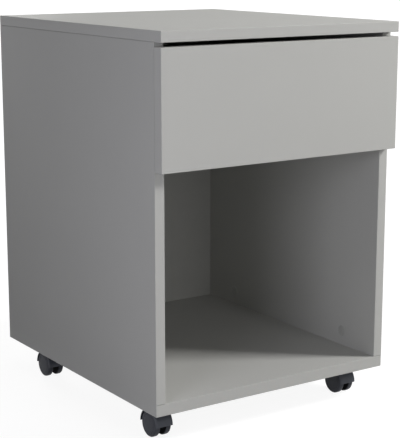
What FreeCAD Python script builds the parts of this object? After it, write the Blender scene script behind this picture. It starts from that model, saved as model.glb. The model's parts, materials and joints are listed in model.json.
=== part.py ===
import FreeCAD, Part
import os
from FreeCAD import Placement, Rotation, Vector

# Mobile pedestal: a chipboard carcass with one drawer on roller runners above an open
# compartment, standing on four hooded twin-wheel casters. Millimetres, +Z up. The origin
# is on the floor under the middle of the carcass, and the drawer opens towards -Y.

# Overall sizes
WIDTH = 430.0
DEPTH = 500.0
CARCASS_HEIGHT = 555.0

# Boards and hardboard sheets
BOARD = 16.0
FRONT_BOARD = 18.0
BOTTOM_BOARD = 18.0
DRAWER_BOARD = 16.0
SHEET = 3.0
EDGE_BREAK = 0.8
GROOVE_DEPTH = 7.0
GROOVE_PLAY = 0.3
BACK_INSET = 11.0

# Drawer front and the gaps round it
FRONT_HEIGHT = 173.5
TOP_REVEAL = 6.5
FRONT_GAP = 0.5
GRIP_HEIGHT = 18.0

# Drawer box
RUNNER_SPACE = 12.5
LIFT_SPACE = 25.0
DRAWER_REAR_SPACE = 20.0
BOTTOM_RISE = 10.0

# Roller runners, folded from sheet steel
STEEL = 1.2
RUNNER_LIFT = 6.0
RUNNER_SETBACK = 1.0
CHANNEL_WIDTH = 10.1
CHANNEL_MOUTH = 45.0
DRAWER_SEAT = 4.0
SEAT_WIDTH = 13.2
FLANGE_CLEARANCE = 1.0
TIP_PLAY = 0.8
STOP_HEIGHT = 5.0
STOP_WIDTH = 5.0
STOP_GAP = 0.5

# Rollers and the pins riveted into the runners
ROLLER_DIAMETER = 17.0
ROLLER_WIDTH = 6.0
ROLLER_GAP = 0.15
FLANGE_GAP = 0.35
ROLLER_SETBACK = 14.0
ROLLER_SPACING_OPEN = 80.0
ROLLER_STANDOFF = 1.3
PIN_DIAMETER = 4.0
PIN_END = 1.0
RUNNING_FIT = 0.08

# Casters
WHEEL_DIAMETER = 40.0
WHEEL_WIDTH = 9.5
WHEEL_FACE = 2.5
WHEEL_SIDE_PLAY = 0.3
AXLE_DIAMETER = 6.0
AXLE_FIT = 0.03
TRAIL = 10.0
HOOD_CLEARANCE = 1.5
HOOD_WALL = 2.5
HUB_RADIUS = 5.2
STEM_DIAMETER = 7.0
SOCKET_WALL = 1.5
SOCKET_FLOOR = 2.5
SWIVEL_PLAY = 0.3
NECK_WIDTH = 15.0
NECK_LENGTH = 16.0
NECK_RISE = 6.7
PLATE = 2.0
PLATE_SIZE = 42.0
PLATE_CORNER = 5.0
CASTER_SIDE_INSET = 37.5
CASTER_END_INSET = 70.0

RIGHT = Vector(1, 0, 0)
BACK = Vector(0, 1, 0)
UP = Vector(0, 0, 1)
AXES = {"x": RIGHT, "y": BACK, "z": UP}
SIDES = {"left": -1, "right": 1}

# Casters, from the floor up
wheel_radius = WHEEL_DIAMETER / 2
well_radius = wheel_radius + HOOD_CLEARANCE
hood_radius = well_radius + HOOD_WALL
neck_top_z = wheel_radius + hood_radius + NECK_RISE
plate_low_z = neck_top_z + SWIVEL_PLAY
base_z = plate_low_z + PLATE
web_half = STEM_DIAMETER / 2 + SOCKET_WALL
wheel_inner = web_half + WHEEL_SIDE_PLAY
wheel_outer = wheel_inner + WHEEL_WIDTH

# Carcass
floor_z = base_z + BOTTOM_BOARD
top_z = base_z + CARCASS_HEIGHT
ceiling_z = top_z - BOARD
half_width = WIDTH / 2
inner_x = half_width - BOARD
front_y = -DEPTH / 2
back_y = DEPTH / 2
front_rear_y = front_y + FRONT_BOARD
carcass_front_y = front_rear_y + FRONT_GAP
sheet_front_y = back_y - BACK_INSET - SHEET
front_top_z = ceiling_z - TOP_REVEAL
front_low_z = front_top_z - FRONT_HEIGHT
shelf_low_z = front_low_z + GRIP_HEIGHT
shelf_top_z = shelf_low_z + BOARD

# Runners and drawer box
runner_z = shelf_top_z + RUNNER_LIFT
roller_radius = ROLLER_DIAMETER / 2
rear_roller_z = runner_z + STEEL + ROLLER_GAP + roller_radius
flange_z = rear_roller_z + roller_radius + FLANGE_GAP
front_roller_z = flange_z - ROLLER_GAP - roller_radius
channel_top_z = flange_z + STEEL + TIP_PLAY + STEEL
channel_web_x = inner_x - STEEL
drawer_x = inner_x - RUNNER_SPACE
member_leg_x = drawer_x + STEEL
drawer_inner_x = drawer_x - DRAWER_BOARD
drawer_low_z = runner_z + DRAWER_SEAT
drawer_top_z = ceiling_z - LIFT_SPACE
drawer_back_y = sheet_front_y - DRAWER_REAR_SPACE
front_roller_y = carcass_front_y + ROLLER_SETBACK
rear_roller_y = drawer_back_y - ROLLER_SETBACK
travel = rear_roller_y - front_roller_y - ROLLER_SPACING_OPEN

nodes = {}


def box(low, high):
    """A block between two opposite corners."""
    size = [b - a for a, b in zip(low, high)]
    return Part.makeBox(size[0], size[1], size[2], Vector(*low))


def edges_along(solid, names):
    """The straight edges of a solid that run along the named axes."""
    runs = [AXES[name] for name in names]
    return [e for e in solid.Edges if any(e.tangentAt(0).cross(run).Length < 0.01 for run in runs)]


def board(low, high, eased, flush_top=False):
    """A board with the edges along the named axes eased; on a flush top the side edges stay sharp."""
    solid = box(low, high)
    sharp = [e for e in edges_along(solid, "y") if flush_top and e.CenterOfMass.z > high[2] - EDGE_BREAK]
    edges = [e for e in edges_along(solid, eased) if not any(e.isSame(other) for other in sharp)]
    return solid.makeChamfer(EDGE_BREAK, edges)


def rod(radius, start, axis, length):
    """A plain round bar or hole."""
    return Part.makeCylinder(radius, length, start, axis)


def turned(profile, start, axis):
    """A solid turned from (radius, height) points about the axis that leaves start."""
    points = [Vector(radius, 0, height) for radius, height in profile]
    solid = Part.Face(Part.makePolygon(points + points[:1])).revolve(Vector(), UP)
    solid.Placement = Placement(start, Rotation(UP, axis))
    return solid


def folded(path, low_y, high_y):
    """Sheet steel folded square along (x, z) points, growing to the left of the path."""
    steps = [(b[0] - a[0], b[1] - a[1]) for a, b in zip(path, path[1:])]
    normals = [Vector(-dz, 0, dx).normalize() for dx, dz in steps]
    bends = [a + b for a, b in zip(normals, normals[1:])]
    near = [Vector(x, low_y, z) for x, z in path]
    far = [point + step * STEEL for point, step in zip(near, normals[:1] + bends + normals[-1:])]
    outline = near + far[::-1]
    return Part.Face(Part.makePolygon(outline + outline[:1])).extrude(BACK * (high_y - low_y))


def mirrored(solid):
    """The same piece on the left side."""
    return solid.mirror(Vector(), RIGHT)


def add_pair(name, right):
    """A right-hand piece and its mirror image on the left."""
    nodes["right_" + name] = right
    nodes["left_" + name] = mirrored(right)


def make_carcass():
    """Top, bottom, sides and shelf, with the hardboard back in its grooves."""
    reach = GROOVE_DEPTH - GROOVE_PLAY
    sheet_rear_y = sheet_front_y + SHEET
    groove = box((-inner_x - GROOVE_DEPTH, sheet_front_y - GROOVE_PLAY, floor_z - GROOVE_DEPTH),
                 (inner_x + GROOVE_DEPTH, sheet_rear_y + GROOVE_PLAY, ceiling_z + GROOVE_DEPTH))
    top = board((-half_width, front_y, ceiling_z), (half_width, back_y, top_z), "xyz")
    bottom = board((-half_width, carcass_front_y, base_z), (half_width, back_y, floor_z), "xyz", True)
    side = board((inner_x, carcass_front_y, floor_z), (half_width, back_y, ceiling_z), "z")
    nodes["top_panel"] = top.cut(groove)
    nodes["bottom_panel"] = bottom.cut(groove)
    add_pair("side_panel", side.cut(groove))
    nodes["middle_shelf"] = board((-inner_x, carcass_front_y, shelf_low_z),
                                  (inner_x, sheet_front_y, shelf_top_z), "x")
    nodes["back_panel"] = box((-inner_x - reach, sheet_front_y, floor_z - reach),
                              (inner_x + reach, sheet_rear_y, ceiling_z + reach))


def make_drawer():
    """Front, sides and back, with the hardboard bottom in its grooves."""
    reach = GROOVE_DEPTH - GROOVE_PLAY
    bottom_z = drawer_low_z + BOTTOM_RISE
    bottom_top_z = bottom_z + SHEET
    groove = box((-drawer_inner_x - GROOVE_DEPTH, front_rear_y - GROOVE_DEPTH, bottom_z - GROOVE_PLAY),
                 (drawer_inner_x + GROOVE_DEPTH, drawer_back_y, bottom_top_z + GROOVE_PLAY))
    front = board((-half_width, front_y, front_low_z), (half_width, front_rear_y, front_top_z), "xyz")
    side = board((drawer_inner_x, front_rear_y, drawer_low_z), (drawer_x, drawer_back_y, drawer_top_z), "y")
    nodes["drawer_front"] = front.cut(groove)
    add_pair("drawer_side", side.cut(groove))
    nodes["drawer_back"] = board((-drawer_inner_x, drawer_back_y - DRAWER_BOARD, bottom_top_z),
                                 (drawer_inner_x, drawer_back_y, drawer_top_z), "x")
    nodes["drawer_bottom"] = box((-drawer_inner_x - reach, front_rear_y - reach, bottom_z),
                                 (drawer_inner_x + reach, drawer_back_y, bottom_top_z))


def roller(start, axis):
    """Nylon roller on the pin that leaves the sheet steel at start."""
    bore = PIN_DIAMETER / 2 + RUNNING_FIT
    far = ROLLER_STANDOFF + ROLLER_WIDTH
    profile = [(bore, ROLLER_STANDOFF), (roller_radius, ROLLER_STANDOFF), (roller_radius, far), (bore, far)]
    return turned(profile, start, axis)


def roller_pin(start, axis):
    """Pin that leaves the sheet steel at start and ends just past its roller."""
    return rod(PIN_DIAMETER / 2, start, axis, ROLLER_STANDOFF + ROLLER_WIDTH + PIN_END)


def cabinet_runner(pin):
    """Right-hand channel on the carcass side, with an open mouth, a pull-out stop and the front pin."""
    lip_x = inner_x - CHANNEL_WIDTH
    front = carcass_front_y + RUNNER_SETBACK
    path = [(lip_x, runner_z), (inner_x, runner_z), (inner_x, channel_top_z), (lip_x, channel_top_z)]
    channel = folded(path, front, drawer_back_y)
    mouth = box((lip_x, front, channel_top_z - STEEL), (channel_web_x, front + CHANNEL_MOUTH, channel_top_z))
    stop_y = rear_roller_y - travel - roller_radius - STOP_GAP
    stop_x = (lip_x + channel_web_x - STOP_WIDTH) / 2
    sheet_z = runner_z + STEEL
    window = box((stop_x, stop_y, runner_z), (stop_x + STOP_WIDTH, stop_y + STOP_HEIGHT, sheet_z))
    lug = box((stop_x, stop_y - STEEL, runner_z), (stop_x + STOP_WIDTH, stop_y, sheet_z + STOP_HEIGHT))
    return channel.cut([mouth, window]).fuse([lug, roller_pin(pin, -RIGHT)]).removeSplitter()


def drawer_runner(pin):
    """Right-hand drawer member: a seat under the drawer side, a running flange and the rear pin."""
    flange_x = channel_web_x - FLANGE_CLEARANCE
    path = [(member_leg_x - SEAT_WIDTH, drawer_low_z - STEEL), (member_leg_x, drawer_low_z - STEEL),
            (member_leg_x, flange_z), (flange_x, flange_z)]
    return folded(path, front_rear_y, drawer_back_y).fuse(roller_pin(pin, RIGHT)).removeSplitter()


def make_runners():
    """Channels, drawer members and rollers on both sides."""
    front_pin = Vector(channel_web_x, front_roller_y, front_roller_z)
    rear_pin = Vector(member_leg_x, rear_roller_y, rear_roller_z)
    add_pair("cabinet_runner", cabinet_runner(front_pin))
    add_pair("drawer_runner", drawer_runner(rear_pin))
    add_pair("front_roller", roller(front_pin, -RIGHT))
    add_pair("rear_roller", roller(rear_pin, RIGHT))


def caster_plate(stem):
    """Square top plate with cut corners and the stem riveted into it."""
    half = PLATE_SIZE / 2
    plate = box((stem.x - half, stem.y - half, plate_low_z), (stem.x + half, stem.y + half, base_z))
    plate = plate.makeChamfer(PLATE_CORNER, edges_along(plate, "z"))
    tip_z = wheel_radius + SOCKET_FLOOR + SWIVEL_PLAY
    return plate.fuse(rod(STEM_DIAMETER / 2, Vector(stem.x, stem.y, tip_z), UP, plate_low_z - tip_z))


def caster_housing(stem, axle):
    """Web between the wheels, half-round hood over both treads and a neck around the stem."""
    hood_left = axle - RIGHT * wheel_outer
    web_left = axle - RIGHT * web_half
    body = rod(hood_radius, hood_left, RIGHT, 2 * wheel_outer)
    below = box((axle.x - wheel_outer, axle.y - hood_radius, axle.z - hood_radius),
                (axle.x + wheel_outer, axle.y + hood_radius, axle.z))
    neck = box((stem.x - NECK_WIDTH / 2, stem.y - NECK_LENGTH / 2, axle.z),
               (stem.x + NECK_WIDTH / 2, stem.y + NECK_LENGTH / 2, neck_top_z))
    wells = [rod(well_radius, axle + RIGHT * (side * web_half), RIGHT * side, wheel_outer)
             for side in SIDES.values()]
    hub = rod(HUB_RADIUS, web_left, RIGHT, 2 * web_half)
    bore = rod(AXLE_DIAMETER / 2 + AXLE_FIT, web_left, RIGHT, 2 * web_half)
    socket_z = wheel_radius + SOCKET_FLOOR
    socket = rod(STEM_DIAMETER / 2 + RUNNING_FIT, Vector(stem.x, stem.y, socket_z), UP, neck_top_z - socket_z)
    return body.cut(below).fuse([neck, hub]).cut(wells + [bore, socket]).removeSplitter()


def caster_wheel(axle, side):
    """Wheel with a blind bore and a closed outer face."""
    bore = AXLE_DIAMETER / 2 + RUNNING_FIT
    floor = WHEEL_WIDTH - WHEEL_FACE
    profile = [(bore, 0), (wheel_radius, 0), (wheel_radius, WHEEL_WIDTH), (0, WHEEL_WIDTH),
               (0, floor), (bore, floor)]
    return turned(profile, axle + RIGHT * (side * wheel_inner), RIGHT * side)


def make_casters():
    """Four casters, all turned so that their wheels lie towards the front."""
    rows = {"front": carcass_front_y + CASTER_END_INSET, "rear": back_y - CASTER_END_INSET}
    axle_half = wheel_outer - WHEEL_FACE - WHEEL_SIDE_PLAY
    for row, y in rows.items():
        for hand, side in SIDES.items():
            caster = row + "_" + hand
            stem = Vector(side * (half_width - CASTER_SIDE_INSET), y, plate_low_z)
            axle = Vector(stem.x, y - TRAIL, wheel_radius)
            nodes[caster + "_plate"] = caster_plate(stem)
            nodes[caster + "_housing"] = caster_housing(stem, axle)
            nodes[caster + "_axle"] = rod(AXLE_DIAMETER / 2, axle - RIGHT * axle_half, RIGHT, 2 * axle_half)
            for wheel, wheel_side in SIDES.items():
                nodes[caster + "_" + wheel + "_wheel"] = caster_wheel(axle, wheel_side)


make_carcass()
make_drawer()
make_runners()
make_casters()
os.makedirs("parts", exist_ok=True)
for node, shape in nodes.items():
    shape.exportStep("parts/" + node + ".step")
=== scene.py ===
import json
import math

import bmesh
import bpy
from bpy.props import FloatProperty, FloatVectorProperty, PointerProperty
from bpy.types import NodeSocket, Operator, Panel, PropertyGroup
from mathutils import Matrix, Vector


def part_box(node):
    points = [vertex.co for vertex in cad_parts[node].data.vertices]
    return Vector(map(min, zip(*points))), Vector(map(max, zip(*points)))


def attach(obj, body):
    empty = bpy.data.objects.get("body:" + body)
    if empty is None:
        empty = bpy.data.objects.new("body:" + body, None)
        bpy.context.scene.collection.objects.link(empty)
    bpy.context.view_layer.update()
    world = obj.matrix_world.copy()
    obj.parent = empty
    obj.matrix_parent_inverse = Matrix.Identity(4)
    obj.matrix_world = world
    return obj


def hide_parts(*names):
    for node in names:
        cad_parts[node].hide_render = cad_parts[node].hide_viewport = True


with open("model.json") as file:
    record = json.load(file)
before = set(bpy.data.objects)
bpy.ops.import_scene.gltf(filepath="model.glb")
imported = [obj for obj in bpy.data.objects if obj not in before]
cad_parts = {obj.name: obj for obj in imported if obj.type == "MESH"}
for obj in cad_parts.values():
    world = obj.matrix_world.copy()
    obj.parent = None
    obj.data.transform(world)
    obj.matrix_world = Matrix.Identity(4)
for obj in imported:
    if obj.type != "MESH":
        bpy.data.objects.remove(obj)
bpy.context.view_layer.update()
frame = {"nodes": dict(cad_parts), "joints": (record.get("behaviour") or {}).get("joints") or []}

bl_info = {
    "name": "Mobile pedestal",
    "version": (1, 0, 0),
    "blender": (4, 5, 0),
    "location": "View3D > Sidebar > Pedestal",
    "description": "Boards, fittings, roller runners and casters of an office pedestal",
    "category": "Object",
}

SIDES = {"left": -1, "right": 1}
CASTERS = [row + "_" + hand for row in ("front", "rear") for hand in SIDES]
RIGHT = Vector((1, 0, 0))
BACK = Vector((0, 1, 0))
UP = Vector((0, 0, 1))
AXES = {"x": RIGHT, "y": BACK, "z": UP}
TRAVEL = next(joint["range_m"][1] for joint in frame["joints"] if joint["name"] == "drawer_slide")

# How deep a fitting's foot sits in its board, and how far a cutter runs past the piece that it cuts
SINK = 0.0003
OVERRUN = 0.001

# Step from one screw of a runner to the next, and from each of them back to its slot
SCREW_PITCH = 0.16
SLOT_SHIFT = 0.05

# Thickness of the caster plates
PLATE_STEEL = 0.002

# Limits for finding a point, merging doubles, an edge level with a face, and a direction along an axis
SAME_POINT = 1e-7
DOUBLES = 1e-6
LEVEL = 1e-5
PARALLEL = 0.999

# Faces that meet at less than this are shaded as one surface
SMOOTH_ANGLE = math.radians(40)

# Span that most of the noise lies in, its detail, and how strongly its relief shows
NOISE_SPAN = (0.3, 0.7)
NOISE_DETAIL = 3
BUMP_STRENGTH = 0.3

# Where the painted shade in the gap between a caster's wheels fades, away from the stem's plane and out
# towards the tread
PAINTED_SHADE_ASIDE = (0.0053, 0.0068)
PAINTED_SHADE_REACH = (0.0185, 0.0205)

# Finishes: tint, tone drift (share, size), grain (size, relief), roughness from and to, and what is special
FINISHES = {
    "melamine": ("board", (0.008, 0.12), (0.0016, 0.00003), (0.58, 0.66), {"gloss": 0.22}),
    "edge_band": ("band", (0.006, 0.05), (0.0009, 0.00002), (0.52, 0.6), {"gloss": 0.22}),
    "hardboard": ("sheet", (0.02, 0.03), (0.0012, 0.00008), (0.55, 0.66), {}),
    "epoxy": ("epoxy", (0.01, 0.03), (0.0012, 0.00006), (0.3, 0.4), {}),
    "nylon": ("nylon", (0.015, 0.006), (0.0006, 0.00003), (0.42, 0.52), {}),
    "zinc": ("zinc", (0.06, 0.008), (0.0015, 0.00002), (0.26, 0.4), {"metallic": 1}),
    "turned_steel": ("steel", (0.04, 0.004), (0.0004, 0.00002), (0.22, 0.36),
                     {"metallic": 1, "skin": "brushed"}),
    # The caster hood and wheel carry a painted shade: their colour is scaled down to this share, and dulled,
    # in the gap between the wheels
    "hood_nylon": ("hood", (0.05, 0.01), (0.0007, 0.00005), (0.34, 0.44), {"gloss": 0.3, "gap": 0.06}),
    "wheel_nylon": ("wheel", (0.06, 0.008), (0.0009, 0.00004), (0.4, 0.52), {"gloss": 0.1, "gap": 0.06}),
    "cap_plastic": ("cap", (0.01, 0.01), (0.0008, 0.00002), (0.32, 0.4), {}),
    "bumper": ("bumper", (0.02, 0.003), (0.0005, 0.00002), (0.25, 0.35), {}),
}

WHITE = (1, 1, 1, 1)

# Floor: size, white that catches the shadow, glow over it, the glow's share near by, and where it fades in
FLOOR_SIZE = 60
FLOOR_WHITE = (0.95, 0.95, 0.95, 1)
FLOOR_GLOW = 1.13
NEAR_GLOW = 0.8
GLOW_FADE = (0.5, 1.8)

# Lamps: place, point that it shines at, size and tint
LAMPS = {
    "front": ((2.0, -1.5, 2.0), (0, 0, 0.35), (0.6, 0.6), (1, 0.995, 0.985)),
    "fill": ((-0.1, -3.2, 1.3), (0, 0, 0.35), (2.0, 2.0), (1, 0.995, 0.985)),
    "left": ((-1.15, -0.75, 0.55), (-0.1, -0.55, 0.32), (0.5, 0.5), (0.955, 0.955, 1.05)),
    "side": ((-0.5, 0.39, 0.58), (-0.215, 0.22, 0.57), (0.05, 0.05), (0.98, 0.98, 1.03)),
    "back": ((0.45, 2.4, 0.5), (0, 0.25, 0.3), (1.0, 0.8), (1, 1, 1)),
    "top": ((0, 0, 2.6), (0, 0, 0), (2.0, 2.0), (1, 1, 0.99)),
}

materials = {}


def srgb(red, green, blue):
    """Screen levels from 0 to 255 as a linear colour."""
    shares = [level / 255 for level in (red, green, blue)]
    return tuple(s / 12.92 if s < 0.04045 else ((s + 0.055) / 1.055) ** 2.4 for s in shares)


def length(label, about, millimetres):
    """A length property, given in millimetres and kept in metres."""
    return FloatProperty(name=label, description=about, default=millimetres / 1000, min=0, unit="LENGTH",
                         precision=5)


def colour(label, about, levels):
    """A colour property, given in screen levels."""
    return FloatVectorProperty(name=label, description=about, default=srgb(*levels), min=0, max=1,
                               subtype="COLOR")


def power(label, about, watts):
    """A property for the power of a lamp."""
    return FloatProperty(name=label, description=about, default=watts, unit="POWER")


class PedestalSizes(PropertyGroup):
    """Small sizes that the boards, fittings and casters are finished with."""

    edge_radius: length("Edge radius", "Rounding of the banded board edges", 0.8)
    seam_radius: length("Seam radius", "Rounding of board edges that lie against another board", 0.3)
    joint_gap: length("Joint gap", "Height of the hairline where a side meets the top", 0.25)
    foot_gap: length("Foot gap", "Height of the hairline at the front foot of a side panel", 0.6)
    joint_depth: length("Joint depth", "Depth of both hairlines", 3.0)
    groove_play: length("Groove play", "Room between a hardboard sheet and its groove", 0.3)
    steel: length("Runner steel", "Thickness of the folded runner steel", 1.2)
    bend_radius: length("Bend radius", "Outer radius of the runner bends", 1.8)
    slot_height: length("Slot height", "Height of the runner slots", 4.4)
    head_diameter: length("Screw head", "Diameter of the pan-head screws", 7.0)
    cap_diameter: length("Cap diameter", "Diameter of the caps over the cam fittings", 18.0)
    cap_height: length("Cap height", "How far a cap stands off the board", 1.2)
    cam_inset: length("Cam inset", "Distance of a cam fitting from the joint it pulls", 24.0)
    cam_diameter: length("Cam diameter", "Diameter of the cams in the drawer sides", 15.0)
    wheel_round: length("Wheel rim", "Rounding of a caster wheel's outer rim", 2.8)
    hood_round: length("Hood rim", "Rounding of a caster hood's rims", 1.0)
    plate_corner: length("Plate corner", "Corner radius of the caster plates", 5.0)


class PedestalColours(PropertyGroup):
    """Colours of the finishes."""

    board: colour("Board", "Grey melamine of the board faces", (182, 182, 179))
    band: colour("Edge band", "Grey band on the board edges", (182, 182, 179))
    sheet: colour("Hardboard", "Grey face of the thin sheets", (174, 174, 171))
    epoxy: colour("Runner coat", "Epoxy coat of the runners", (205, 205, 202))
    nylon: colour("Roller nylon", "Nylon of the runner rollers", (222, 220, 212))
    zinc: colour("Zinc", "Zinc plating of plates and screws", (178, 180, 184))
    steel: colour("Turned steel", "Bare steel of the axles", (168, 169, 171))
    hood: colour("Caster hood", "Moulded nylon of the caster hoods", (68, 71, 78))
    wheel: colour("Caster wheel", "Hard nylon of the caster wheels", (72, 74, 80))
    cap: colour("Caps", "Plastic of the cam caps and back wedges", (172, 172, 169))
    bumper: colour("Bumpers", "Soft bumpers behind the drawer front", (205, 206, 205))


class PedestalStage(PropertyGroup):
    """Camera, floor and lamps."""

    eye: FloatVectorProperty(name="Eye", description="Place of the camera",
                             default=(-1.1500, -1.7336, 0.7159), subtype="XYZ", unit="LENGTH")
    aim: FloatVectorProperty(name="Aim", description="Direction that the camera looks in",
                             default=(0.54645, 0.8119, -0.2044), subtype="DIRECTION")
    lens: FloatProperty(name="Lens", description="Focal length on a 36 mm sensor", default=106.27,
                        unit="CAMERA")
    front_power: power("Front lamp", "Power of the soft lamp in front", 76)
    fill_power: power("Fill lamp", "Power of the wide lamp near the camera", 15)
    left_power: power("Left lamp", "Power of the soft lamp on the left", 4.5)
    side_power: power("Side lamp", "Power of the small lamp beside the rear of the left side", 0.12)
    back_power: power("Back lamp", "Power of the soft lamp behind", 32)
    top_power: power("Overhead lamp", "Power of the soft lamp overhead", 10)
    ambient: FloatProperty(name="Ambient", description="Strength of the even light all round", default=0.015)
    floor: colour("Floor", "Pale floor", (186, 186, 186))


def start_clean():
    """Object mode with nothing selected."""
    if bpy.context.mode != "OBJECT":
        bpy.ops.object.mode_set(mode="OBJECT")
    bpy.ops.object.select_all(action="DESELECT")


def activate(piece):
    """Makes one piece the only selected one and the active one."""
    start_clean()
    piece.select_set(True)
    bpy.context.view_layer.objects.active = piece


def settle(name):
    """Names the active object and puts its place into its mesh."""
    bpy.ops.object.transform_apply(location=True, rotation=True, scale=True)
    piece = bpy.context.active_object
    piece.name = name
    piece.data.name = name
    return piece


def discard(*models):
    """Removes objects that have served as models or tools."""
    for model in models:
        bpy.data.objects.remove(model)


def add_block(name, low, high):
    """A block between two opposite corners."""
    start_clean()
    low, high = Vector(low), Vector(high)
    bpy.ops.mesh.primitive_cube_add(size=1, location=(low + high) / 2, scale=high - low)
    return settle(name)


def open_with(piece, kind, test):
    """Opens a piece in edit mode with those of its vertices or edges selected that pass the test."""
    activate(piece)
    bpy.ops.object.mode_set(mode="EDIT")
    bpy.ops.mesh.select_mode(type=kind)
    bpy.ops.mesh.select_all(action="DESELECT")
    mesh = bmesh.from_edit_mesh(piece.data)
    for part in mesh.verts if kind == "VERT" else mesh.edges:
        if test(part):
            part.select_set(True)
    mesh.select_flush_mode()
    bmesh.update_edit_mesh(piece.data)


def close_edit():
    """Back to object mode."""
    bpy.ops.object.mode_set(mode="OBJECT")


def middle(edge):
    """The middle of an edge."""
    return (edge.verts[0].co + edge.verts[1].co) / 2


def runs_along(edge, name):
    """Whether an edge runs along the named axis."""
    run = (edge.verts[1].co - edge.verts[0].co).normalized()
    return abs(run.dot(AXES[name])) > PARALLEL


def round_edges(piece, test, radius, segments=3):
    """Rounds the edges that pass the test."""
    open_with(piece, "EDGE", test)
    bpy.ops.mesh.bevel(offset=radius, segments=segments, profile=0.5, affect="EDGES", clamp_overlap=True)
    close_edit()


def recalculate(piece):
    """Merges doubles and turns all faces outwards."""
    open_with(piece, "VERT", lambda vertex: True)
    bpy.ops.mesh.remove_doubles(threshold=DOUBLES)
    bpy.ops.mesh.normals_make_consistent(inside=False)
    if bmesh.from_edit_mesh(piece.data).calc_volume(signed=True) < 0:
        bpy.ops.mesh.flip_normals()
    close_edit()


def combine(piece, tools, operation):
    """Cuts the tools from a piece, or unites them with it, and removes them."""
    for tool in tools:
        activate(piece)
        bpy.ops.object.modifier_add(type="BOOLEAN")
        modifier = piece.modifiers[-1]
        modifier.operation = operation
        modifier.solver = "MANIFOLD"
        modifier.object = tool
        bpy.ops.object.modifier_apply(modifier=modifier.name)
        discard(tool)
    recalculate(piece)
    return piece


def turn_to(facing):
    """The turn that points +Z along a direction and keeps +Y to the back where it can."""
    ahead = UP if abs(facing.y) > PARALLEL else BACK
    return Matrix((ahead.cross(facing), ahead, facing)).transposed().to_euler()


def is_at(point):
    """A test for the vertex at a point."""
    return lambda vertex: (vertex.co - point).length < SAME_POINT


def add_path(points, ring=False):
    """A bare chain of edges through the points, or a ring of them, left open in edit mode."""
    start_clean()
    bpy.ops.mesh.primitive_plane_add()
    piece = bpy.context.active_object
    bpy.ops.object.mode_set(mode="EDIT")
    bpy.ops.mesh.select_mode(type="VERT")
    bpy.ops.mesh.select_all(action="SELECT")
    bpy.ops.mesh.merge(type="CENTER")
    bpy.ops.transform.translate(value=points[0])
    for start, end in zip(points, points[1:]):
        bpy.ops.mesh.extrude_region_move(TRANSFORM_OT_translate={"value": end - start})
    if ring:
        first, last = is_at(points[0]), is_at(points[-1])
        open_with(piece, "VERT", lambda vertex: first(vertex) or last(vertex))
        bpy.ops.mesh.edge_face_add()
    return piece


def round_corner(piece, corner, radius, segments=4):
    """Rounds a chain of edges at one of its points."""
    open_with(piece, "VERT", is_at(corner))
    bpy.ops.mesh.bevel(offset=radius, segments=segments, profile=0.5, affect="VERTICES")


def add_turned(name, profile, spot=(0, 0, 0), facing=UP, steps=48, ring=False):
    """A piece spun from (radius, height) points, some with a rounding, on a spot and facing a direction."""
    points = [Vector((point[0], 0, point[1])) for point in profile]
    piece = add_path(points, ring)
    for corner, point in zip(points, profile):
        if len(point) > 2:
            round_corner(piece, corner, point[2])
    bpy.ops.mesh.select_all(action="SELECT")
    bpy.ops.mesh.spin(steps=steps, angle=2 * math.pi, center=(0, 0, 0), axis=UP)
    close_edit()
    recalculate(piece)
    activate(piece)
    piece.rotation_euler = turn_to(facing)
    piece.location = spot
    return settle(name)


def add_round_bar(name, radius, low, high, spot, facing, steps=48):
    """A plain round bar between two heights above a spot."""
    return add_turned(name, [(0, low), (radius, low), (radius, high), (0, high)], spot, facing, steps)


def join(name, pieces):
    """Several objects as one piece."""
    start_clean()
    for piece in pieces:
        piece.select_set(True)
    bpy.context.view_layer.objects.active = pieces[0]
    bpy.ops.object.join()
    return settle(name)


def copy_of(model):
    """A copy of a model with a mesh of its own, as the active object."""
    activate(model)
    bpy.ops.object.duplicate(linked=False)
    return bpy.context.active_object


def set_copy(model, name, spot, facing=UP):
    """A copy of a model, turned from up to a direction and moved by a spot."""
    copy = copy_of(model)
    copy.rotation_euler = turn_to(facing)
    copy.location = spot
    return settle(name)


def scatter(name, model, spots):
    """Copies of a model that faces up from the origin, set on (spot, facing) places, as one piece."""
    return join(name, [set_copy(model, name, spot, facing) for spot, facing in spots])


def mirror(piece, name):
    """A copy of a right-hand piece for the left side."""
    copy_of(piece).scale.x = -1
    copy = settle(name)
    recalculate(copy)
    return copy


def paint(mesh, *finishes):
    """Puts finishes on a mesh in place of what it had."""
    mesh.materials.clear()
    for finish in finishes:
        mesh.materials.append(materials[finish])


def dress(piece, body, finish, replaced=None):
    """Smooths a piece, gives it its finish, unless it has one, and lets it ride on its body."""
    activate(piece)
    bpy.ops.object.shade_smooth_by_angle(angle=SMOOTH_ANGLE)
    bpy.ops.object.modifier_add(type="WEIGHTED_NORMAL")
    piece.modifiers[-1].keep_sharp = True
    bpy.ops.object.modifier_apply(modifier=piece.modifiers[-1].name)
    if finish:
        paint(piece.data, finish)
    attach(piece, body)
    if replaced:
        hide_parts(replaced)


def feed(tree, socket, value):
    """Links a node's output to an input, or sets a plain value there."""
    if isinstance(value, NodeSocket):
        tree.links.new(value, socket)
    else:
        socket.default_value = value


def add_node(tree, kind, values, group=None):
    """A shader node, or a placed group, whose named inputs are fed with outputs or plain values."""
    node = tree.nodes.new("ShaderNode" + kind)
    if group:
        node.node_tree = group
    for label, value in values.items():
        feed(tree, node.inputs[label], value)
    return node


def add_math(tree, kind, operation, *values):
    """The result of a Math or VectorMath node that is fed with outputs or plain values in turn."""
    node = tree.nodes.new("ShaderNode" + kind)
    node.operation = operation
    inputs = [socket for socket in node.inputs if socket.enabled]
    for socket, value in zip(inputs, values):
        feed(tree, socket, value)
    return next(socket for socket in node.outputs if socket.enabled)


def add_range(tree, value, low, high, span):
    """Stretches a value from a span to the one between low and high."""
    values = {"Value": value, "From Min": span[0], "From Max": span[1], "To Min": low, "To Max": high}
    return add_node(tree, "MapRange", values).outputs["Result"]


def add_place(tree):
    """Object coordinates."""
    return add_node(tree, "TexCoord", {}).outputs["Object"]


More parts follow.
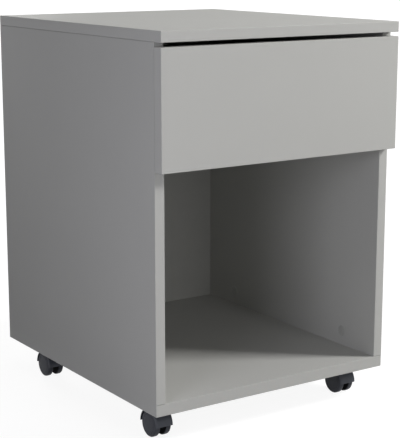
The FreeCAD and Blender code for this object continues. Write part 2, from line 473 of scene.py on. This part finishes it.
def add_mix(tree, share, first, second):
    """A mix of two shaders with a share of the second one."""
    return add_node(tree, "MixShader", {"Fac": share, 1: first, 2: second}).outputs["Shader"]


def new_tree(owner, kind):
    """The emptied node tree of a material or world, and its new output node."""
    owner.use_nodes = True
    tree = owner.node_tree
    tree.nodes.clear()
    return tree, tree.nodes.new("ShaderNodeOutput" + kind)


def new_group(name, inputs, outputs):
    """An empty shader node group with sockets for a colour and for numbers, and its two end nodes."""
    group = bpy.data.node_groups.new(name, "ShaderNodeTree")
    for side, labels in (("INPUT", inputs), ("OUTPUT", outputs)):
        for label in labels:
            kind = "NodeSocketColor" if label == "Colour" else "NodeSocketFloat"
            group.interface.new_socket(name=label, in_out=side, socket_type=kind)
    return group, group.nodes.new("NodeGroupInput"), group.nodes.new("NodeGroupOutput")


def add_noise(group, size, stretch=None):
    """Noise on object coordinates with grains of a size."""
    place = add_place(group)
    if stretch:
        place = add_math(group, "VectorMath", "MULTIPLY", place, stretch)
    values = {"Vector": place, "Scale": add_math(group, "Math", "DIVIDE", 1, size), "Detail": NOISE_DETAIL}
    return add_node(group, "TexNoise", values).outputs["Fac"]


def make_tone_group():
    """Slow drift of a colour between a darker and a lighter tone."""
    group, start, end = new_group("Tone drift", ["Colour", "Dark", "Light", "Size"], ["Colour"])
    noise = add_noise(group, start.outputs["Size"])
    tone = add_range(group, noise, start.outputs["Dark"], start.outputs["Light"], NOISE_SPAN)
    feed(group, end.inputs["Colour"], add_math(group, "VectorMath", "SCALE", start.outputs["Colour"], tone))
    return group


def make_grain_group(name, stretch=None):
    """Fine surface grain, as a height and a roughness."""
    group, start, end = new_group(name, ["Size", "Smooth", "Rough"], ["Height", "Roughness"])
    noise = add_noise(group, start.outputs["Size"], stretch)
    rough = add_range(group, noise, start.outputs["Smooth"], start.outputs["Rough"], NOISE_SPAN)
    feed(group, end.inputs["Height"], noise)
    feed(group, end.inputs["Roughness"], rough)
    return group


def make_painted_wheel_shade_group():
    """Painted shade in the gap between a caster's wheels: darker colour and duller gloss by the stem's plane
    and under the tread.
    """
    group, start, end = new_group("Wheel gap", ["Colour", "Roughness", "Depth"], ["Colour", "Roughness"])
    axles = [(low + high) / 2 for low, high in [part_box(caster + "_axle") for caster in CASTERS]]
    centre = [sum(abs(axle[axis]) for axle in axles) / len(axles) for axis in range(3)]
    place = add_math(group, "VectorMath", "ABSOLUTE", add_place(group))
    place = add_math(group, "VectorMath", "SUBTRACT", place, centre)
    place = add_math(group, "VectorMath", "ABSOLUTE", place)
    aside = add_node(group, "SeparateXYZ", {"Vector": place}).outputs["X"]
    flat = add_math(group, "VectorMath", "MULTIPLY", place, BACK + UP)
    reach = add_math(group, "VectorMath", "LENGTH", flat)
    # Painted shade: the colour is scaled down to Depth near the stem's plane and inside the tread, and the
    # roughness is raised there
    ramps = [add_range(group, value, start.outputs["Depth"], 1, span)
             for value, span in ((aside, PAINTED_SHADE_ASIDE), (reach, PAINTED_SHADE_REACH))]
    painted_shade_factor = add_math(group, "Math", "MAXIMUM", *ramps)
    dull = add_math(group, "Math", "SUBTRACT", 1, painted_shade_factor)
    rough = add_math(group, "Math", "MAXIMUM", start.outputs["Roughness"], dull)
    feed(group, end.inputs["Colour"], add_math(group, "VectorMath", "SCALE", start.outputs["Colour"], painted_shade_factor))
    feed(group, end.inputs["Roughness"], rough)
    return group


def make_finish(name, groups, base, drift, grain, rough, skin="grain", metallic=0, gloss=0.5, gap=None):
    """A finish with a drifting tone, a fine grain in gloss and relief, and painted shade between a caster's
    wheels if it is given a depth for that shade.
    """
    material = bpy.data.materials.new(name)
    tree, output = new_tree(material, "Material")
    tone = {"Colour": (*base, 1), "Dark": 1 - drift[0], "Light": 1 + drift[0], "Size": drift[1]}
    look = add_node(tree, "Group", tone, groups["tone"]).outputs["Colour"]
    face = add_node(tree, "Group", {"Size": grain[0], "Smooth": rough[0], "Rough": rough[1]}, groups[skin])
    dullness = face.outputs["Roughness"]
    relief = {"Height": face.outputs["Height"], "Strength": BUMP_STRENGTH, "Distance": grain[1]}
    # Painted shade: darkens and dulls the colour in the gap between the caster wheels
    if gap:
        values = {"Colour": look, "Roughness": dullness, "Depth": gap}
        look, dullness = add_node(tree, "Group", values, groups["gap"]).outputs
    shader = add_node(tree, "BsdfPrincipled", {
        "Base Color": look, "Roughness": dullness, "Metallic": metallic, "Specular IOR Level": gloss,
        "Normal": add_node(tree, "Bump", relief).outputs["Normal"]})
    feed(tree, output.inputs["Surface"], shader.outputs["BSDF"])
    materials[name] = material


class PEDESTAL_OT_finishes(Operator):
    """Make the finishes of all pieces"""

    bl_idname = "pedestal.finishes"
    bl_label = "Finishes"

    def execute(self, context):
        tints = context.scene.pedestal_colours
        stretch = (0.04, 1, 1)
        # The last group paints shade into the gap between a caster's wheels
        groups = {"tone": make_tone_group(), "grain": make_grain_group("Surface grain"),
                  "brushed": make_grain_group("Brushed lines", stretch), "gap": make_painted_wheel_shade_group()}
        for name, (tint, drift, grain, rough, special) in FINISHES.items():
            make_finish(name, groups, getattr(tints, tint), drift, grain, rough, **special)
        return {"FINISHED"}


def sheet_groove(node, play, rear=0.0):
    """A cutter for the groove that a hardboard sheet runs in, longer to the rear by a length."""
    low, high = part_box(node)
    room = Vector((play, play, play))
    return add_block("groove", low - room, high + room + BACK * rear)


def sides_of(edge, low, high):
    """The sides of a block that an edge lies on, as -1, 0 or 1 along each axis."""
    spot = middle(edge) - (low + high) / 2
    return Vector([round(2 * along / size) for along, size in zip(spot, high - low)])


def make_board(node, rounding):
    """A board in a CAD panel's place; rounding names an edge's kind from the sides that the edge lies on."""
    low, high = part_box(node)
    sizes = bpy.context.scene.pedestal_sizes
    piece = add_block(node + "_board", low, high)
    for kind, radius in (("edge", sizes.edge_radius), ("seam", sizes.seam_radius)):
        round_edges(piece, lambda edge: rounding(sides_of(edge, low, high)) == kind, radius)
    return piece


def add_hairlines(sizes):
    """Cutters for the right side's hairlines, along its outer face under the top and at its front foot."""
    low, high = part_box("right_side_panel")
    past = Vector((OVERRUN, OVERRUN, OVERRUN))
    skin = 0.0005
    upper_low = (high.x - sizes.joint_depth, low.y - past.y, high.z - sizes.joint_gap)
    foot_high = (high.x - skin, low.y + sizes.joint_depth, low.z + sizes.foot_gap)
    return [add_block("hairline", upper_low, high + past), add_block("hairline", low - past, foot_high)]


def dress_board(piece, node, body):
    """Melamine on a board's two faces and edge band round it."""
    low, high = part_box(node)
    size = high - low
    thin = min(AXES.values(), key=lambda axis: abs(size.dot(axis)))
    paint(piece.data, "melamine", "edge_band")
    for face in piece.data.polygons:
        face.material_index = 0 if abs(face.normal.dot(thin)) > PARALLEL else 1
    dress(piece, body, None, node)


class PEDESTAL_OT_carcass(Operator):
    """Make the carcass boards and finish the hardboard back"""

    bl_idname = "pedestal.carcass"
    bl_label = "Carcass boards"

    def execute(self, context):
        sizes = context.scene.pedestal_sizes
        boards = {"top_panel": make_board("top_panel", lambda sides: "edge"),
                  "bottom_panel": make_board("bottom_panel", self.bottom_rounding),
                  "right_side_panel": make_board("right_side_panel", self.side_rounding)}
        combine(boards["right_side_panel"], add_hairlines(sizes), "DIFFERENCE")
        for piece in boards.values():
            combine(piece, [sheet_groove("back_panel", sizes.groove_play)], "DIFFERENCE")
        boards["left_side_panel"] = mirror(boards["right_side_panel"], "left_side_panel_board")
        boards["middle_shelf"] = make_board("middle_shelf", lambda sides: None if sides.x else "edge")
        for node, piece in boards.items():
            dress_board(piece, node, "carcass")
        paint(frame["nodes"]["back_panel"].data, "hardboard")
        return {"FINISHED"}

    def bottom_rounding(self, sides):
        """Sharp where the sides stand flush, and fine along the upper front edge."""
        if sides.z > 0 and sides.y < 0:
            return "seam"
        return None if sides.z > 0 and sides.x else "edge"

    def side_rounding(self, sides):
        """Upright edges, the outer front one finer."""
        if sides.z:
            return None
        return "seam" if sides.y < 0 and sides.x > 0 else "edge"


class PEDESTAL_OT_drawer(Operator):
    """Make the drawer boards and finish the hardboard bottom"""

    bl_idname = "pedestal.drawer"
    bl_label = "Drawer"

    def execute(self, context):
        play = context.scene.pedestal_sizes.groove_play
        front = make_board("drawer_front", lambda sides: "seam" if sides.y > 0 else "edge")
        side = make_board("right_drawer_side", lambda sides: None if sides.y else "edge")
        boards = {"drawer_front": front, "right_drawer_side": side}
        for piece in boards.values():
            combine(piece, [sheet_groove("drawer_bottom", play, OVERRUN)], "DIFFERENCE")
        boards["left_drawer_side"] = mirror(side, "left_drawer_side_board")
        boards["drawer_back"] = make_board("drawer_back", lambda sides: None if sides.x else "edge")
        for node, piece in boards.items():
            dress_board(piece, node, "drawer")
        paint(frame["nodes"]["drawer_bottom"].data, "hardboard")
        return {"FINISHED"}


def add_stud(name, outline, steps=24):
    """A fitting spun from the outline above its board, standing on the origin with its foot in the board."""
    return add_turned(name, [(0, -SINK), (outline[0][0], -SINK)] + outline, steps=steps)


def cut_cross(piece, reach, half, floor):
    """Cuts a cross recess down to a floor height."""
    above = 0.01
    slots = [add_block("slot", (-reach, -half, floor), (reach, half, above)),
             add_block("slot", (-half, -reach, floor), (half, reach, above))]
    return combine(piece, slots, "DIFFERENCE")


def make_screw_head(height):
    """A pan head with a cross recess, standing on the origin."""
    radius = bpy.context.scene.pedestal_sizes.head_diameter / 2
    brim = height * 0.35
    outline = [(radius, brim), (radius * 0.86, height * 0.75), (radius * 0.5, height * 0.96), (0, height)]
    return cut_cross(add_stud("screw_head", outline), radius * 0.62, radius * 0.13, brim)


def make_bumper():
    """A thin round pad, standing on the origin."""
    radius, height, slope = 0.004, 0.0004, 0.0006
    return add_stud("bumper", [(radius, height / 2), (radius - slope, height), (0, height)])


def make_cap():
    """A round cap with a shallow dimple, standing on the origin."""
    sizes = bpy.context.scene.pedestal_sizes
    radius, height = sizes.cap_diameter / 2, sizes.cap_height
    dimple = height * 0.6
    return add_stud("cap", [(radius, height * 0.4), (radius - height * 0.8, height), (radius * 0.24, height),
                            (radius * 0.16, dimple), (0, dimple)], steps=40)


def make_cam():
    """A flush cam with a cross slot, standing on the origin."""
    radius, height = bpy.context.scene.pedestal_sizes.cam_diameter / 2, 0.0005
    bevel = height * 0.5
    cam = add_stud("cam", [(radius, bevel), (radius - bevel, height), (0, height)], steps=40)
    return cut_cross(cam, radius * 0.6, radius * 0.12, height * 0.2)


def make_wedge():
    """A back wedge that leans on the origin, tapered towards +Z and long in X."""
    half, near, far, height = 0.014, -0.004, 0.005, 0.009
    taper, curve = 0.006, 0.0008
    wedge = add_block("wedge", (-half, near, 0), (half, far, height))
    open_with(wedge, "EDGE", lambda edge: runs_along(edge, "x") and min(middle(edge).yz) > LEVEL)
    bpy.ops.transform.translate(value=-BACK * taper)
    close_edit()
    round_edges(wedge, lambda edge: middle(edge).z > LEVEL, curve)
    return wedge


class PEDESTAL_OT_fittings(Operator):
    """Set the cam caps, cams, drawer screws, back wedges and bumpers"""

    bl_idname = "pedestal.fittings"
    bl_label = "Small fittings"

    def execute(self, context):
        sizes = context.scene.pedestal_sizes
        self.set_caps(sizes)
        self.set_drawer_fittings(sizes)
        self.set_bumpers()
        self.set_wedges()
        return {"FINISHED"}

    def set_caps(self, sizes):
        """Caps over the cams inside the carcass, in two rows."""
        low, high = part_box("right_side_panel")
        shelf_low, shelf_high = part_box("middle_shelf")
        inset = 0.08
        rows = (low.y + inset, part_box("back_panel")[0].y - inset)
        levels = (low.z + sizes.cam_inset, high.z - sizes.cam_inset)
        cap = make_cap()
        for hand, side in SIDES.items():
            spots = [(Vector((side * low.x, y, z)), RIGHT * -side) for y in rows for z in levels]
            spots += [(Vector((side * (shelf_high.x - sizes.cam_inset), y, shelf_low.z)), -UP) for y in rows]
            dress(scatter(hand + "_cam_caps", cap, spots), "carcass", "cap_plastic")
        discard(cap)

    def set_drawer_fittings(self, sizes):
        """Cams at the front of the drawer sides, and screws into its back from the sides and from below."""
        low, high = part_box("right_drawer_side")
        rear_low, rear_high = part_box("drawer_back")
        inset, spread, head_height = 0.03, 0.11, 0.001
        levels = (low.z + inset, high.z - inset)
        rear_y = (rear_low.y + rear_high.y) / 2
        cam = make_cam()
        screw = make_screw_head(head_height)
        for hand, side in SIDES.items():
            for kind, model, y in (("cams", cam, low.y + sizes.cam_inset), ("screws", screw, rear_y)):
                spots = [(Vector((side * high.x, y, z)), RIGHT * side) for z in levels]
                dress(scatter(hand + "_drawer_" + kind, model, spots), "drawer", "zinc")
        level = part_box("drawer_bottom")[0].z
        spots = [(Vector((x, rear_y, level)), -UP) for x in (-spread, 0, spread)]
        dress(scatter("bottom_sheet_screws", screw, spots), "drawer", "zinc")
        discard(cam, screw)

    def set_bumpers(self):
        """Bumpers near the corners of the drawer front's rear face."""
        low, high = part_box("drawer_front")
        inset = Vector((0.007, 0, 0.01))
        pad = make_bumper()
        spots = [(Vector((x, high.y, z)), BACK) for x in (low.x + inset.x, high.x - inset.x)
                 for z in (low.z + inset.z, high.z - inset.z)]
        dress(scatter("drawer_bumpers", pad, spots), "drawer", "bumper")
        discard(pad)

    def set_wedges(self):
        """Wedges behind the back sheet, two at each side and one above and below."""
        low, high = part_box("right_side_panel")
        play, inset = 0.0042, 0.12
        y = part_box("back_panel")[1].y + play
        wedge = make_wedge()
        spots = [(Vector((side * low.x, y, z)), RIGHT * -side)
                 for side in SIDES.values() for z in (low.z + inset, high.z - inset)]
        spots += [(Vector((0, y, z)), facing) for z, facing in ((low.z, UP), (high.z, -UP))]
        dress(scatter("back_wedges", wedge, spots), "carcass", "cap_plastic")
        discard(wedge)


def make_strip(name, path, low_y, high_y, radius):
    """Sheet folded along (x, z) points with round bends, which lies to the left of that path."""
    steel = bpy.context.scene.pedestal_sizes.steel
    near = [Vector((x, low_y, z)) for x, z in path]
    runs = [(end - start).normalized() for start, end in zip(near, near[1:])]
    lefts = [Vector((-run.z, 0, run.x)) for run in runs]
    shifts = [lefts[0]] + [before + after for before, after in zip(lefts, lefts[1:])] + [lefts[-1]]
    far = [point + shift * steel for point, shift in zip(near, shifts)]
    piece = add_path(near + far[::-1], True)
    for number in range(1, len(near) - 1):
        inner, outer = near[number], far[number]
        if runs[number - 1].cross(runs[number]).y < 0:
            inner, outer = outer, inner
        round_corner(piece, outer, radius)
        round_corner(piece, inner, radius - steel)
    bpy.ops.mesh.select_all(action="SELECT")
    bpy.ops.mesh.edge_face_add()
    bpy.ops.mesh.extrude_region_move(TRANSFORM_OT_translate={"value": BACK * (high_y - low_y)})
    close_edit()
    recalculate(piece)
    return settle(name)


def make_slot(spot, size, axis):
    """A cutter for a round-ended slot, twice as long as high, that runs along Y through sheet steel."""
    through, almost_half = 0.004, 0.499
    across = (RIGHT + UP - axis) * size
    extent = axis * through + BACK * size * 2 + across
    cutter = add_block("slot", spot - extent / 2, spot + extent / 2)
    name = "x" if axis.x else "z"
    round_edges(cutter, lambda edge: runs_along(edge, name), size * almost_half, segments=6)
    return cutter


def runner_spots(x, first_y, z):
    """Places of a runner's three screws."""
    return [Vector((x, first_y + SCREW_PITCH * number, z)) for number in range(3)]


def set_runner_screws(name, head_height, spots, facing):
    """A runner's screws as one piece."""
    head = make_screw_head(head_height)
    screws = scatter(name, head, [(spot, facing) for spot in spots])
    discard(head)
    return screws


def make_pin():
    """A roller pin with a collar at its foot and a rivet head past the roller, standing on the origin."""
    collar, shaft, crown = 0.0032, 0.002, 0.0024
    foot, seat, end, brim, top = -0.0005, 0.0011, 0.00745, 0.0079, 0.0083
    profile = [(0, foot), (collar, foot), (collar, seat), (shaft, seat), (shaft, end), (collar, end),
               (collar, brim), (crown, top), (0, top)]
    return add_turned("pin", profile, steps=24)


def make_roller():
    """A nylon roller with a round tread and sunk faces, standing on the origin."""
    low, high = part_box("right_front_roller")
    radius, width = (high.z - low.z) / 2, high.x - low.x
    bore, hub, rim = 0.00208, 0.0039, radius - 0.0014
    step, sunk, slope, curve = 0.0002, 0.0009, 0.0004, 0.0006
    near = [(bore, step), (hub, step), (hub + slope, sunk), (rim - slope, sunk), (rim, 0),
            (radius, 0, curve)]
    far = [(reach, width - height, *rounding) for reach, height, *rounding in reversed(near)]
    return add_turned("roller", near + far, ring=True)


class PEDESTAL_OT_runners(Operator):
    """Make the roller runners with their pins, rollers and screws"""

    bl_idname = "pedestal.runners"
    bl_label = "Roller runners"

    def execute(self, context):
        sizes = context.scene.pedestal_sizes
        front_low, front_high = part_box("right_front_roller")
        rear_low, rear_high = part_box("right_rear_roller")
        channel, channel_screws = self.make_channel(sizes)
        member, member_screws = self.make_member(sizes)
        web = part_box("right_cabinet_runner")[1].x - sizes.steel
        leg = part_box("right_drawer_side")[1].x + sizes.steel
        front = (front_low + front_high) / 2
        rear = (rear_low + rear_high) / 2
        pin, roller = make_pin(), make_roller()
        front_pin = set_copy(pin, "right_front_pin", (web, front.y, front.z), -RIGHT)
        rear_pin = set_copy(pin, "right_rear_pin", (leg, rear.y, rear.z), RIGHT)
        front_roller = set_copy(roller, "right_front_wheel", (front_low.x, front.y, front.z), RIGHT)
        rear_roller = set_copy(roller, "right_rear_wheel", (rear_low.x, rear.y, rear.z), RIGHT)
        discard(pin, roller)
        self.fit_pair(channel, "carcass", "runner_steel", "epoxy", "cabinet_runner")
        self.fit_pair(member, "drawer", "runner_steel", "epoxy", "drawer_runner")
        self.fit_pair(front_pin, "carcass", "runner_steel", "zinc")
        self.fit_pair(rear_pin, "drawer", "runner_steel", "zinc")
        self.fit_pair(channel_screws, "carcass", "zinc_plate", "zinc")
        self.fit_pair(member_screws, "drawer", "zinc_plate", "zinc")
        self.fit_pair(front_roller, "front_roller", "roller_nylon", "nylon", "front_roller")
        self.fit_pair(rear_roller, "rear_roller", "roller_nylon", "nylon", "rear_roller")
        return {"FINISHED"}

    def fit_pair(self, piece, body, slot, finish, node=None):
        """Dresses a right-hand piece and its mirror copy."""
        pair = {"right": piece, "left": mirror(piece, piece.name.replace("right", "left"))}
        for hand, copy in pair.items():
            own = body if body in ("carcass", "drawer") else hand + "_" + body
            dress(copy, own, finish, hand + "_" + node if node else None)

    def make_channel(self, sizes):
        """The cabinet's channel with its open mouth, slots and stop lug, and the screws in it."""
        low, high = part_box("right_cabinet_runner")
        web = high.x - sizes.steel
        path = [(low.x, low.z), (high.x, low.z), (high.x, high.z), (low.x, high.z)]
        piece = make_strip("right_channel", path, low.y, high.y, sizes.bend_radius)
        first_screw, head_height, mouth, lip = 0.036, 0.0011, 0.045, 0.0017
        play, half, reach, root, through, curve = 0.0005, 0.0025, 0.005, 0.0004, 0.002, 0.0012
        spots = runner_spots(web, low.y + first_screw, (low.z + high.z) / 2)
        stop_x = (low.x + web) / 2
        stop_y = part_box("right_rear_roller")[0].y - TRAVEL - play
        cutters = [add_block("mouth", (low.x - OVERRUN, low.y - OVERRUN, high.z - lip),
                             (high.x - sizes.bend_radius, low.y + mouth, high.z + OVERRUN)),
                   add_block("window", (stop_x - half, stop_y, low.z - OVERRUN),
                             (stop_x + half, stop_y + reach, low.z + through))]
        cutters += [make_slot(spot + BACK * SLOT_SHIFT, sizes.slot_height, RIGHT) for spot in spots]
        combine(piece, cutters, "DIFFERENCE")
        lug = add_block("lug", (stop_x - half, stop_y - sizes.steel, low.z + root),
                        (stop_x + half, stop_y, low.z + sizes.steel + reach))
        round_edges(lug, lambda edge: runs_along(edge, "y") and middle(edge).z > low.z + through, curve)
        combine(piece, [lug], "UNION")
        return piece, set_runner_screws("right_channel_screws", head_height, spots, -RIGHT)

    def make_member(self, sizes):
        """The drawer's folded member with its slots, and the screws in it."""
        low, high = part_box("right_drawer_runner")
        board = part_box("right_drawer_side")[1].x
        leg = board + sizes.steel
        path = [(low.x, low.z), (leg, low.z), (leg, high.z - sizes.steel), (high.x, high.z - sizes.steel)]
        piece = make_strip("right_member", path, low.y, high.y, sizes.bend_radius)
        first_screw, head_height = 0.03, 0.0015
        spots = runner_spots((low.x + board) / 2, low.y + first_screw, low.z)
        slots = [make_slot(spot + BACK * SLOT_SHIFT, sizes.slot_height, UP) for spot in spots]
        combine(piece, slots, "DIFFERENCE")
        return piece, set_runner_screws("right_member_screws", head_height, spots, -UP)


def make_neck(stem, low_z, high_z):
    """The neck round a caster's stem."""
    wide, deep = 0.0075, 0.008
    corner, rim = 0.003, 0.0006
    neck = add_block("neck", (stem.x - wide, stem.y - deep, low_z), (stem.x + wide, stem.y + deep, high_z))
    round_edges(neck, lambda edge: runs_along(edge, "z"), corner, segments=4)
    round_edges(neck, lambda edge: middle(edge).z > high_z - LEVEL, rim, segments=2)
    return neck


def make_hood(caster, sizes):
    """The hood over both wheels, with the web and hub between them and the neck round the stem."""
    low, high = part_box(caster + "_housing")
    axle_low, axle_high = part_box(caster + "_axle")
    plate_low, plate_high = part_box(caster + "_plate")
    axle = (axle_low + axle_high) / 2
    stem = (plate_low + plate_high) / 2
    half = (high.x - low.x) / 2
    radius = (high.y - low.y) / 2
    wall, wheel_play, lift, step, rise = 0.0025, 0.0003, 0.00015, 0.00015, 0.004
    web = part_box(caster + "_right_wheel")[0].x - axle.x - wheel_play
    well = radius - wall
    curve = sizes.hood_round
    profile = [(0, -web), (well, -web, curve), (well, -half), (radius, -half, curve * 2),
               (radius, half, curve * 2), (well, half), (well, web, curve), (0, web)]
    piece = add_turned("hood", profile, axle, RIGHT, steps=64)
    open_with(piece, "VERT", lambda vertex: True)
    bpy.ops.mesh.bisect(plane_co=axle + UP * lift, plane_no=UP, use_fill=True, clear_inner=True)
    close_edit()
    face = web + step
    hub = add_round_bar("hub", axle.z - low.z, -face, face, axle, RIGHT)
    neck = make_neck(stem, axle.z + rise, high.z)
    wells = [add_round_bar("well", well + OVERRUN, web - OVERRUN, half, axle, RIGHT * side)
             for side in SIDES.values()]
    combine(piece, [hub, combine(neck, wells, "DIFFERENCE")], "UNION")
    axle_play, bore_reach = 0.00003, 0.02
    bore_radius = (axle_high.z - axle_low.z) / 2 + axle_play
    bore = add_round_bar("bore", bore_radius, -bore_reach, bore_reach, axle, RIGHT)
    stem_play, socket_radius, socket_reach = 0.0003, 0.00358, 0.05
    foot = (stem.x, stem.y, plate_low.z - stem_play)
    socket = add_round_bar("socket", socket_radius, 0, socket_reach, foot, UP, steps=32)
    return combine(piece, [bore, socket], "DIFFERENCE")


def make_plate(caster, sizes):
    """The top plate with round corners and the stem that stands down from it."""
    low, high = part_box(caster + "_plate")
    under = high.z - PLATE_STEEL
    stem = (low + high) / 2
    piece = add_block("top_plate", (low.x, low.y, under), high)
    rim, root, radius, tip, chamfer = 0.0004, -0.0005, 0.0035, 0.0027, 0.001
    round_edges(piece, lambda edge: runs_along(edge, "z"), sizes.plate_corner, segments=6)
    round_edges(piece, lambda edge: middle(edge).z < under + LEVEL, rim, segments=2)
    drop = under - low.z
    profile = [(0, root), (radius, root), (radius, drop - chamfer), (tip, drop), (0, drop)]
    pin = add_turned("stem", profile, (stem.x, stem.y, under), -UP, steps=32)
    return combine(piece, [pin], "UNION")


def make_wheel(caster, sizes):
    """A wheel with a round rim, a ring groove in its domed face and a blind bore, standing on the origin."""
    low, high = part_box(caster + "_right_wheel")
    radius, width = (high.z - low.z) / 2, high.x - low.x
    bore, floor = 0.00308, width - 0.0025
    rim, lip, bed, dome = width - 0.0006, width - 0.0004, width - 0.0009, width - 0.0001
    groove, flank = radius * 0.74, 0.0005
    profile = [(0, floor), (bore, floor), (bore, 0), (radius, 0, sizes.wheel_round * 0.5),
               (radius, rim, sizes.wheel_round), (groove + flank, lip), (groove, bed), (groove - flank, lip),
               (groove * 0.6, dome), (0, width)]
    return add_turned("tyre", profile, steps=64)


class PEDESTAL_OT_casters(Operator):
    """Make the caster plates, hoods and wheels"""

    bl_idname = "pedestal.casters"
    bl_label = "Casters"

    def execute(self, context):
        sizes = context.scene.pedestal_sizes
        first = CASTERS[0]
        head_height = 0.0018
        models = (make_screw_head(head_height), make_plate(first, sizes), make_hood(first, sizes),
                  make_wheel(first, sizes))
        for caster in CASTERS:
            self.set_caster(caster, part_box(caster + "_plate")[0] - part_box(first + "_plate")[0], *models)
        discard(*models)
        return {"FINISHED"}

    def set_caster(self, caster, shift, head, plate, hood, wheel):
        """Copies of the first caster's pieces in another caster's place."""
        low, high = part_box(caster + "_plate")
        top_plate = set_copy(plate, caster + "_top_plate", shift)
        dress(top_plate, "carcass", "zinc", caster + "_plate")
        inset = 0.0075
        spots = [(Vector((x, y, high.z - PLATE_STEEL)), -UP) for x in (low.x + inset, high.x - inset)
                 for y in (low.y + inset, high.y - inset)]
        dress(scatter(caster + "_plate_screws", head, spots), "carcass", "zinc")
        hood = set_copy(hood, caster + "_hood", shift)
        dress(hood, caster + "_caster", "hood_nylon", caster + "_housing")
        for hand, side in SIDES.items():
            node = caster + "_" + hand + "_wheel"
            low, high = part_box(node)
            spot = (low.x if side > 0 else high.x, (low.y + high.y) / 2, (low.z + high.z) / 2)
            tyre = set_copy(wheel, caster + "_" + hand + "_tyre", spot, RIGHT * side)
            dress(tyre, node, "wheel_nylon", node)
        paint(frame["nodes"][caster + "_axle"].data, "turned_steel")


def look_along(direction):
    """The turn of a lamp or camera that faces a direction."""
    return Vector(direction).to_track_quat("-Z", "Y").to_euler()


def add_lamp(name, spot, target, size, watts, tint):
    """A soft oblong lamp that shines at a point."""
    lamp = bpy.data.lights.new(name, "AREA")
    lamp.shape = "RECTANGLE"
    lamp.size, lamp.size_y = size
    lamp.energy = watts
    lamp.color = tint
    holder = bpy.data.objects.new(name, lamp)
    holder.location = spot
    holder.rotation_euler = look_along(Vector(target) - Vector(spot))
    bpy.context.scene.collection.objects.link(holder)


def add_seen_mask(tree):
    """One where a camera, mirror or glass ray looks, and zero for bounced light."""
    path = add_node(tree, "LightPath", {})
    mask = path.outputs["Is Camera Ray"]
    for ray in ("Is Glossy Ray", "Is Transmission Ray"):
        mask = add_math(tree, "Math", "MAXIMUM", mask, path.outputs[ray])
    return mask


class PEDESTAL_OT_stage(Operator):
    """Set up the floor, lamps, surroundings and camera"""

    bl_idname = "pedestal.stage"
    bl_label = "Stage"

    def execute(self, context):
        stage = context.scene.pedestal_stage
        self.make_floor(stage)
        self.make_world(stage)
        for name, (spot, target, size, tint) in LAMPS.items():
            add_lamp(name + "_lamp", spot, target, size, getattr(stage, name + "_power"), tint)
        camera = bpy.data.objects.new("camera", bpy.data.cameras.new("camera"))
        camera.data.lens = stage.lens
        camera.location = stage.eye
        camera.rotation_euler = look_along(stage.aim)
        context.scene.collection.objects.link(camera)
        context.scene.camera = camera
        context.scene.view_settings.view_transform = "Standard"
        return {"FINISHED"}

    def make_floor(self, stage):
        """A pale floor that looks white, more so far away, and still shows shadows near by."""
        start_clean()
        bpy.ops.mesh.primitive_plane_add(size=FLOOR_SIZE)
        floor = settle("floor")
        material = bpy.data.materials.new("pale_floor")
        tree, output = new_tree(material, "Material")
        dull = add_node(tree, "BsdfDiffuse", {"Color": (*stage.floor, 1)})
        bright = add_node(tree, "BsdfDiffuse", {"Color": FLOOR_WHITE})
        glow = add_node(tree, "Emission", {"Strength": FLOOR_GLOW})
        away = add_math(tree, "VectorMath", "LENGTH", add_place(tree))
        fade = add_range(tree, away, NEAR_GLOW, 1, GLOW_FADE)
        seen = add_mix(tree, fade, bright.outputs["BSDF"], glow.outputs["Emission"])
        blend = add_mix(tree, add_seen_mask(tree), dull.outputs["BSDF"], seen)
        feed(tree, output.inputs["Surface"], blend)
        floor.data.materials.append(material)

    def make_world(self, stage):
        """Faint even light, and white where it is looked at."""
        world = bpy.data.worlds.new("surroundings")
        bpy.context.scene.world = world
        tree, output = new_tree(world, "World")
        lights = [add_node(tree, "Background", {"Color": WHITE, "Strength": strength}).outputs["Background"]
                  for strength in (stage.ambient, 1)]
        feed(tree, output.inputs["Surface"], add_mix(tree, add_seen_mask(tree), *lights))


GROUPS = {"pedestal_sizes": PedestalSizes, "pedestal_colours": PedestalColours,
          "pedestal_stage": PedestalStage}
STEPS = (PEDESTAL_OT_finishes, PEDESTAL_OT_carcass, PEDESTAL_OT_drawer, PEDESTAL_OT_fittings,
         PEDESTAL_OT_runners, PEDESTAL_OT_casters, PEDESTAL_OT_stage)


class PEDESTAL_PT_panel(Panel):
    """Sizes, colours and steps of the pedestal"""

    bl_idname = "PEDESTAL_PT_panel"
    bl_label = "Mobile pedestal"
    bl_space_type = "VIEW_3D"
    bl_region_type = "UI"
    bl_category = "Pedestal"

    def draw(self, context):
        for name, kind in GROUPS.items():
            for label in kind.__annotations__:
                self.layout.prop(getattr(context.scene, name), label)
        for step in STEPS:
            self.layout.operator(step.bl_idname)


CLASSES = (*GROUPS.values(), *STEPS, PEDESTAL_PT_panel)


def register():
    for made in CLASSES:
        bpy.utils.register_class(made)
    for name, kind in GROUPS.items():
        setattr(bpy.types.Scene, name, PointerProperty(type=kind))


def unregister():
    for name in GROUPS:
        delattr(bpy.types.Scene, name)
    for made in reversed(CLASSES):
        bpy.utils.unregister_class(made)


def main():
    register()
    bpy.ops.pedestal.finishes()
    bpy.ops.pedestal.carcass()
    bpy.ops.pedestal.drawer()
    bpy.ops.pedestal.fittings()
    bpy.ops.pedestal.runners()
    bpy.ops.pedestal.casters()
    bpy.ops.pedestal.stage()


if __name__ == "__main__":
    main()
